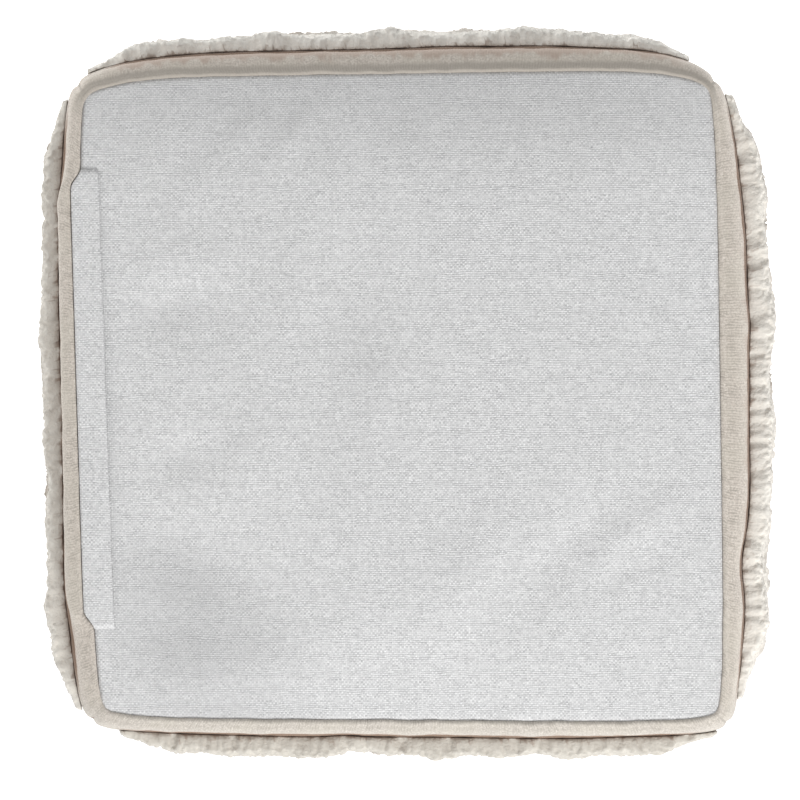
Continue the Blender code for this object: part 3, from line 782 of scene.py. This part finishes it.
FLAP_THICKNESS = 0.0015
FLAP_GAP = 0.0004  # left open between the flap and the panel
FLAP_LIFT = 0.0006
FLAP_FREE_LIFT = 0.0007  # how far its inner edge stands off further, toward the front
FLAP_INNER_BACK_X = -0.2084
FLAP_INNER_FRONT_X = -0.198
FLAP_CELLS = (106, 10)
FLAP_CUT_FROM = (0.7, -0.6)  # its place on the canvas, clear of the patches of painted shade
FLAP_WAVER = 0.0004
FLAP_RIPPLE = 0.00035
FLAP_SEAM_DIP = 0.001
FLAP_EDGE_DIP = 0.0004
FLAP_END_DIP = 0.0009

ys = np.linspace(FLAP_FRONT_Y, FLAP_BACK_Y, FLAP_CELLS[0] + 1)
out = np.linspace(0, 1, FLAP_CELLS[1] + 1)
front_y, back_y = CORNERS[0, 1], CORNERS[3, 1]
face = np.empty((FLAP_CELLS[0] + 1, FLAP_CELLS[1] + 1, 3))
for j, y in enumerate(ys):
    along = np.array([(y - front_y) / (back_y - front_y)])
    edge_x = panel_edge(3, 1 - along)[0, 0]
    far_x = panel_edge(1, along)[0, 0]
    inner_x = mix(FLAP_INNER_FRONT_X, FLAP_INNER_BACK_X, j / FLAP_CELLS[0])
    inner_x += FLAP_WAVER * wave(y / 0.03, 0.0, 4.0)
    xs = np.linspace(edge_x, inner_x, FLAP_CELLS[1] + 1)
    under = panel_points((xs - edge_x) / (far_x - edge_x), along)[0]
    free = smoothstep((out - 0.35) / 0.65) * smoothstep((y + 0.15) / 0.03)
    lift = FLAP_LIFT + FLAP_FREE_LIFT * free * (1 - smoothstep((y - 0.02) / 0.08))
    ripple = FLAP_RIPPLE * wave(y / 0.022, 1.0, 8.0) * out
    face[j, :, 0] = xs
    face[j, :, 1] = y
    face[j, :, 2] = under[:, 2] + lift + ripple + FLAP_THICKNESS
face[:, -1, 2] -= FLAP_EDGE_DIP
face[:, 0, 2] -= FLAP_SEAM_DIP
face[[0, -1], :, 2] -= FLAP_END_DIP
flat_place = face[..., :2] + FLAP_CUT_FROM
flap = cloth_sheet("zip_flap_canvas", face, FLAP_THICKNESS - FLAP_GAP, canvas, flat_place)
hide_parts("zip_flap")
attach(flap, "root")

# --------------------------------------------------
# The pile. Soft cotton yarn is tufted through each wall and through the top. The tufts stand close
# together, with round heads about 7 mm across, clump into lumps and end short of the seams.

PILE_FROM = (0.046, 0.04, 0.046, 0.024)
PILE_TO = (0.98, 0.978, 0.98, 0.98)
PILE_FROM_TOP = 0.045
PILE_TO_TOP = 0.955
PILE_RISE = (0.0016, 0.0, 0.0008, 0.0004)  # how much nearer the base each wall's pile begins
PILE_RISE_FADE = 0.02
PILE_BED = (0.0108, 0.0126, 0.0086, 0.0108)  # how deep the close-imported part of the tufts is
PILE_BED_ROUND = 0.005  # how far in from its edge the bed is rounded off
PILE_LIP = 0.0009  # how far off the cloth its edge starts, over a dark gap
PILE_BACK = 0.0003  # how far off the cloth its back lies
PILE_TUCK = 0.0012  # how far the back is drawn in under the edge
PILE_END_FULLNESS = 0.3  # the pile thins out into the corners
PILE_END_WIDTH = 0.11
PILE_LUMP = 0.0042
PILE_RIM_LUMP = 0.004
LUMP_SIZE = 0.026
SWELL_SIZE = 0.06
PILE_FOLD = 0.0008
PILE_RIM_FOLD = 0.001
PILE_NUB = 0.0009
NUB_SIZE = 0.009
EDGE_WAVE = 0.003  # how unevenly the pile's edge runs
EDGE_WAVE_FADE = 0.009
RIM_WIDTH = 0.03
PRESSED_TO = 0.02  # the pile is pressed flat this far down from the base
FULL_TUFTS_FROM = 0.07  # and stands full from here on
BED_CELLS = (196, 114)
BED_TOWARD_EDGES = 0.7
TUFT = 0.0066  # across one tuft's round head
TUFT_HEIGHT = 0.0034
TUFT_CRUMPLE = 0.0048
CURL = 0.44  # the small curls in a tuft's head, as a share of its size
HEAD_REACH = 0.62  # a head's half width, as a share of the way to the next

PILE_IVORY = (0.62, 0.56, 0.49)
PILE_COOL = (0.55, 0.53, 0.475)
PILE_FIBRE = (0.74, 0.69, 0.62)
PILE_PAINTED_LIGHT = (0.88, 0.84, 0.77)  # painted light on the pile beside the base, where it faces up
PILE_PAINTED_LIGHT_DEEP = tuple(0.86 * v for v in PILE_PAINTED_LIGHT)
PILE_PAINTED_SHADE = (0.44, 0.41, 0.355)
PILE_PAINTED_LIGHT_BACK = (0.97, 0.945, 0.885)
PILE_CREASE_PAINTED_SHADE = (0.42, 0.365, 0.305)
PILE_GAP_PAINTED_SHADOW = (0.3, 0.215, 0.165)

pile_yarn, tree, shader = cloth_finish("tufted_cotton_yarn", 0.95, 0.25)
shade_factor = add_node(tree, "ShaderNodeAttribute", attribute_name="painted_shade_factor").outputs["Fac"]
model_place = add_node(tree, "ShaderNodeTexCoord").outputs["Object"]
to_right, toward_back, high = parts(tree, model_place)
# painted light: near the base the pile is made lighter where it faces up
facing_up = parts(tree, add_node(tree, "ShaderNodeNewGeometry").outputs["Normal"])[2]
facing_up = ranged(tree, facing_up, -0.05, 0.45, 0.25, 1.0)
painted_light_rim = times(tree, ranged(tree, high, 0.31, 0.402), facing_up)
patch = mottled(tree, model_place, 0.018, 2.0)
fibre = mottled(tree, model_place, 0.0016, 3.0)
colour = blended(tree, ranged(tree, patch, 0.38, 0.66), PILE_IVORY, PILE_COOL)
colour = blended(tree, ranged(tree, fibre, 0.35, 0.7, 0.0, 0.3), colour, PILE_FIBRE)
colour = blended(tree, times(tree, painted_light_rim, 0.85), colour, PILE_PAINTED_LIGHT)
# painted shade in the creases between the tufts' heads, paler on the rim
deep = blended(tree, painted_light_rim, PILE_CREASE_PAINTED_SHADE, PILE_PAINTED_LIGHT_DEEP)
colour = blended(tree, ranged(tree, shade_factor, 0.22, 0.78), deep, colour)
# painted shade on the front and left piles near the base
pile_front_painted_shade = ranged(tree, toward_back, -0.236, -0.21, 0.54, 0.0)
pile_left_painted_shade = ranged(tree, to_right, -0.24, -0.215, 0.16, 0.0)
pile_painted_shade = times(tree, maths(tree, "ADD", pile_front_painted_shade, pile_left_painted_shade), painted_light_rim)
colour = blended(tree, pile_painted_shade, colour, PILE_PAINTED_SHADE)
# painted light on the back pile near the base
back_painted_light = times(tree, ranged(tree, toward_back, 0.225, 0.245, 0.0, 0.75), painted_light_rim)
colour = blended(tree, back_painted_light, colour, PILE_PAINTED_LIGHT_BACK)
# a dark painted shadow along the gap under the margin
colour = blended(tree, ranged(tree, shade_factor, 0.0, 0.16), PILE_GAP_PAINTED_SHADOW, colour)
colour_and_relief(tree, shader, colour, fibre, 0.8, 0.0009)


def tuft_tree():
    """Works the heads of close-set tufts into a bed of pile."""
    tree = bpy.data.node_groups.new("pile_tufts", "GeometryNodeTree")
    for name, kind in (
        ("Bed", "Geometry"),
        ("Finer", "Int"),
        ("Tuft", "Float"),
        ("Tuft height", "Float"),
        ("Crumple", "Float"),
        ("Lowest", "Float"),
        ("Seed", "Int"),
        ("Yarn", "Material"),
    ):
        tree.interface.new_socket(name, in_out="INPUT", socket_type="NodeSocket" + kind)
    tree.interface.new_socket("Pile", in_out="OUTPUT", socket_type="NodeSocketGeometry")
    given = tree.nodes.new("NodeGroupInput").outputs

    def named(name):
        found = {"Name": name}
        return add_node(tree, "GeometryNodeInputNamedAttribute", found, data_type="FLOAT").outputs[0]

    def heads(place, size):
        """Round heads, 1 at each one's middle and 0 in the crease round it."""
        inputs = {"Vector": place, "Scale": maths(tree, "DIVIDE", 1.0, size)}
        off = add_node(tree, "ShaderNodeTexVoronoi", inputs).outputs["Distance"]
        off = maths(tree, "MINIMUM", maths(tree, "DIVIDE", off, HEAD_REACH), 1.0)
        return maths(tree, "SQRT", maths(tree, "SUBTRACT", 1.0, times(tree, off, off)))

    where = tree.nodes.new("GeometryNodeInputPosition").outputs[0]
    own_shift = vector_maths(tree, "SCALE", (0.37, 0.11, 0.23), Scale=given["Seed"])
    astray = vector_maths(tree, "ADD", where, own_shift)
    finer = {"Mesh": given["Bed"], "Level": given["Finer"]}
    bed = add_node(tree, "GeometryNodeSubdivideMesh", finer).outputs[0]
    for size, amount in ((0.011, given["Crumple"]), (0.0042, times(tree, given["Crumple"], 0.45))):
        astray = vector_maths(tree, "ADD", astray, wander(tree, where, size, amount))
    fine = named("fine_share")
    head = heads(astray, given["Tuft"])
    head = times(tree, head, maths(tree, "SUBTRACT", 1.0, times(tree, fine, 0.75)))
    curl = heads(astray, times(tree, given["Tuft"], CURL))
    curl_share = plus(tree, 0.34, fine, 0.4)
    height = maths(tree, "SUBTRACT", plus(tree, head, curl, curl_share), 0.75)
    height = times(tree, height, given["Tuft height"], named("tuft_size"))
    # painted shade: the factor falls in the creases between heads and curls
    shade_factor = plus(tree, plus(tree, 0.24, curl, curl_share), head, 0.5)
    shade_factor = {"Geometry": bed, "Name": "painted_shade_factor", "Value": times(tree, named("painted_shade_factor"), shade_factor)}
    bed = add_node(tree, "GeometryNodeStoreNamedAttribute", shade_factor, data_type="FLOAT").outputs[0]
    off_bed = tree.nodes.new("GeometryNodeInputNormal").outputs[0]
    raised = {"Geometry": bed, "Offset": vector_maths(tree, "SCALE", off_bed, Scale=height)}
    bed = add_node(tree, "GeometryNodeSetPosition", raised).outputs[0]
    floor = add_node(tree, "ShaderNodeCombineXYZ", {0: -9.0, 1: -9.0, 2: given["Lowest"]}).outputs[0]
    pressed = {"Geometry": bed, "Position": vector_maths(tree, "MAXIMUM", where, floor)}
    level = add_node(tree, "GeometryNodeSetPosition", pressed).outputs[0]
    smooth = add_node(tree, "GeometryNodeSetShadeSmooth", {"Geometry": level}).outputs[0]
    whole = add_node(tree, "GeometryNodeRealizeInstances", {0: smooth}).outputs[0]
    spun = {"Geometry": whole, "Material": given["Yarn"]}
    spun = add_node(tree, "GeometryNodeSetMaterial", spun).outputs[0]
    tree.links.new(spun, tree.nodes.new("NodeGroupOutput").inputs[0])
    return tree


def noise_over(cloth, size, shift=(0.0, 0.0, 0.0)):
    """Smooth noise at each point of a grid, with waves about this many metres across."""
    values = [noise.noise(Vector(point) / size + Vector(shift)) for point in cloth.reshape(-1, 3)]
    return np.array(values).reshape(cloth.shape[:2])


def folded(along, inward):
    """Soft folds that run in from the pile's edge, some broad and some fine, from -1 to 1."""
    bent = along + 0.004 * wave(along / 0.02, inward / 0.008, 2.0)
    broad = 1 - 2.6 * abs(wave(bent / 0.013, inward / 0.03, 6.0))
    fine = wave(bent / 0.0046, inward / 0.011, 9.0)
    return 0.7 * broad + 0.6 * fine


def ways_off(cloth, towards):
    """The way off the cloth at each point of a grid."""
    ways = unit(np.cross(np.gradient(cloth, axis=1), np.gradient(cloth, axis=0)))
    return ways * np.sign((ways * towards).sum(-1, keepdims=True))


def bed_faces(number, start):
    """The bed's face, its rim and its back, which closes on one middle point."""
    faces = grid_faces(number)
    rim = rim_of(number)
    count = len(rim)
    for k in range(count):
        beside = (k + 1) % count
        faces.append([rim[beside], rim[k], start + k, start + beside])
    for k in range(count):
        faces.append([start + (k + 1) % count, start + k, start + count])
    return faces


def pile_bed(name, cloth, towards, deep, end_fullness):
    """The close-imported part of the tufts: a lumpy, folded, round-edged bed on the cloth."""
    lines, columns = cloth.shape[:2]
    ways = ways_off(cloth, towards)
    left, upper = reach_along(cloth, 1), reach_along(cloth, 0)
    right, lower = left[:, -1:] - left, upper[-1:] - upper
    from_side, from_line = np.minimum(left, right), np.minimum(upper, lower)
    inside = np.minimum(from_side, from_line)
    edge = 1 - np.clip(inside / PILE_BED_ROUND, 0, 1)
    rounded = np.sqrt(np.maximum(0.0, 1 - edge**2))
    full = mix(end_fullness, 1.0, smoothstep(from_side / left[:, -1:] / PILE_END_WIDTH))
    lower_down = smoothstep((upper - PRESSED_TO) / (FULL_TUFTS_FROM - PRESSED_TO))
    lump = 0.6 * noise_over(cloth, SWELL_SIZE, (3.1, 7.7, 1.3)) + 0.9 * noise_over(cloth, LUMP_SIZE)
    around = np.where(from_line <= from_side, left, upper)
    folds = [folded(a, b) for a, b in zip(around.ravel(), inside.ravel())]
    depth = deep + mix(PILE_RIM_LUMP, PILE_LUMP, smoothstep(inside / RIM_WIDTH)) * lump
    depth += mix(PILE_RIM_FOLD, PILE_FOLD, lower_down) * np.array(folds).reshape(lines, columns)
    depth += PILE_NUB * noise_over(cloth, NUB_SIZE)
    face = cloth + ways * (PILE_LIP * full + full * depth * rounded)[..., None]
    waves = noise_over(cloth, 0.01) + 0.6 * noise_over(cloth, 0.0045)
    down_way, side_way = unit(np.gradient(cloth, axis=0)), unit(np.gradient(cloth, axis=1))
    back = cloth + ways * PILE_BACK
    for gap, way in ((upper, -down_way), (lower, down_way), (left, -side_way), (right, side_way)):
        face += (EDGE_WAVE * waves * (1 - smoothstep(gap / EDGE_WAVE_FADE)))[..., None] * way
        back -= PILE_TUCK * (gap == 0)[..., None] * way

    number = np.arange(lines * columns).reshape(lines, columns)
    middle = back[lines // 2, columns // 2][None]
    points = np.vstack([face.reshape(-1, 3), back.reshape(-1, 3)[rim_of(number)], middle])
    made = new_piece(name, points, bed_faces(number, number.size), pile_yarn)
    # painted shadow along the pile's upper edge, under the margin, and painted shade round its other
    # edges
    ragged = np.clip(0.45 + 0.9 * waves, 0.0, 1.4)
    gap_painted_shadow = mix(0.3, 1.0, smoothstep(upper / (0.0006 + 0.0024 * ragged)))
    gap_painted_shadow *= mix(0.7, 1.0, smoothstep(inside / 0.003))
    size = smoothstep(inside / 0.0018) * (mix(0.62, 1.0, lower_down) + 0.15 * lump) * mix(0.6, 1.0, full)
    fine = 1 - smoothstep((upper - 0.006) / 0.03)
    for label, values in (("painted_shade_factor", gap_painted_shadow), ("tuft_size", size), ("fine_share", fine)):
        whole = np.zeros(len(points), np.float32)
        whole[: values.size] = values.ravel()
        made.data.attributes.new(label, "FLOAT", "POINT").data.foreach_set("value", whole)
    return made


def set_tufts(bed, tree, node, seed, lowest):
    """Works the tufts into the bed and leaves one plain mesh."""
    worked = bed.modifiers.new("tufts", "NODES")
    worked.node_group = tree
    values = {"Tuft": TUFT, "Tuft height": TUFT_HEIGHT, "Crumple": TUFT_CRUMPLE}
    values |= {"Finer": 1, "Lowest": lowest, "Seed": seed, "Yarn": pile_yarn}
    for item in tree.interface.items_tree:
        if item.name in values:
            worked[item.identifier] = values[item.name]
    bpy.context.view_layer.update()
    plain = bpy.data.meshes.new_from_object(bed.evaluated_get(bpy.context.evaluated_depsgraph_get()))
    bed.modifiers.remove(worked)
    plain.name = bed.name
    bed.data = plain
    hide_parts(node)
    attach(bed, "root")


NO_FLOOR = -1.0
WALL_SEED = 20
pile_tree = tuft_tree()
t = np.linspace(0, 1, BED_CELLS[1] + 1)
drops = mix(PILE_FIRST_DROP, PILE_LAST_DROP, t - BED_TOWARD_EDGES * np.sin(2 * np.pi * t) / (2 * np.pi))
for index, side in enumerate(SIDE_NAMES):
    cloth = []
    for drop in drops:
        drop -= PILE_RISE[index] * (1 - smoothstep((drop - PILE_FIRST_DROP) / PILE_RISE_FADE))
        down_share = drop / WALL_DROP
        first = mix(PILE_FROM[index], PILE_FROM_TOP, down_share)
        last = mix(PILE_TO[index], PILE_TO_TOP, down_share)
        row = profile_behind_pile(drop)
        cloth.append(wall_points(index, np.linspace(first, last, BED_CELLS[0] + 1), row))
    bed = pile_bed("pile_on_" + side, np.array(cloth), OUTWARD[index], PILE_BED[index], PILE_END_FULLNESS)
    set_tufts(bed, pile_tree, "pile_" + side, WALL_SEED + index, NO_FLOOR)

# The top's pile is underneath: the filling presses it level against the floor.
TOP_PILE_BED = 0.019
TOP_CELLS = 64
TOP_PILE_FROM = 0.05  # it ends this share of the top's width short of the seam
TOP_CLOTH = 0.0006
TOP_SEED = 31
FLOOR_LEVEL = 0.0004

t = np.linspace(0, 1, TOP_CELLS + 1)
chosen = np.nonzero((t > TOP_PILE_FROM) & (t < 1 - TOP_PILE_FROM))[0]
s, a = t[chosen][None, :], t[chosen][:, None]
edges = [wall_points(k, t if k < 2 else 1 - t, rows[-1]) for k in range(4)]
cloth = spanned(edges, s[..., None], a[..., None], chosen)
cloth[..., 2] = top_cap_heights(s, a) - TOP_CLOTH
bed = pile_bed("pile_on_top", cloth, np.array([0.0, 0.0, -1.0]), TOP_PILE_BED, 1.0)
set_tufts(bed, pile_tree, "pile_top", TOP_SEED, FLOOR_LEVEL)

# --------------------------------------------------
# The floor, the light and the camera. The base faces up, so the camera looks down on it from
# above its right-hand back corner; the main light is soft and comes from the front right.

FLOOR_HALF = 4.0
FLOOR_WHITE = (0.93, 0.93, 0.93, 1.0)
PURE_WHITE = (1.0, 1.0, 1.0, 1.0)
CAMERA_OVER = (0.06, 0.06, 2.2)  # over the middle of the base seam's plane
SEEN_WIDTH = 0.552  # of that plane, across the photograph
LIGHTS_AIM = (0.0, 0.0, 0.4)

corners = [(x * FLOOR_HALF, y * FLOOR_HALF, 0) for x, y in ((-1, -1), (1, -1), (1, 1), (-1, 1))]
floor_mesh = bpy.data.meshes.new("floor")
floor_mesh.from_pydata(corners, [], [(0, 1, 2, 3)])
white = bpy.data.materials.new("white_floor")
white.use_nodes = True
tree = white.node_tree
toward_back = parts(tree, add_node(tree, "ShaderNodeTexCoord").outputs["Object"])[1]
# the floor glows, more toward the back: painted light over the pouf's shadow there
floor_painted_light = ranged(tree, toward_back, -0.3, 0.45, 0.24, 1.15)
shader = tree.nodes["Principled BSDF"]
feed(shader, {"Base Color": FLOOR_WHITE, "Roughness": 0.9})
feed(shader, {"Emission Color": PURE_WHITE, "Emission Strength": floor_painted_light})
floor_mesh.materials.append(white)
floor = placed("floor", floor_mesh)

world = bpy.data.worlds.new("studio")
world.use_nodes = True
feed(world.node_tree.nodes["Background"], {"Color": PURE_WHITE, "Strength": 0.55})
bpy.context.scene.world = world


def soft_light(name, place, size, power):
    lamp = bpy.data.lights.new(name, "AREA")
    lamp.shape = "DISK"
    lamp.size = size
    lamp.energy = power
    made = placed(name, lamp)
    made.location = place
    made.rotation_euler = (Vector(LIGHTS_AIM) - Vector(place)).to_track_quat("-Z", "Y").to_euler()


soft_light("key_light", (1.2, -2.6, 2.2), 1.4, 86)
soft_light("fill_light", (-2.6, 0.7, 1.1), 1.8, 20)

camera = bpy.data.cameras.new("camera")
camera.angle = 2 * math.atan(SEEN_WIDTH / 2 / CAMERA_OVER[2])
camera.clip_start = 0.05
camera.clip_end = 20
viewer = placed("camera", camera)
look_at = Vector((MOVED[0], MOVED[1], BASE_SEAM_Z))
sight = -Vector(CAMERA_OVER).normalized()
image_right = sight.cross(Vector((0, 1, 0))).normalized()
turn = Matrix((image_right, image_right.cross(sight), -sight)).transposed()
viewer.matrix_world = Matrix.Translation(look_at + Vector(CAMERA_OVER)) @ turn.to_4x4()
bpy.context.scene.camera = viewer
bpy.context.scene.view_settings.view_transform = "Standard"
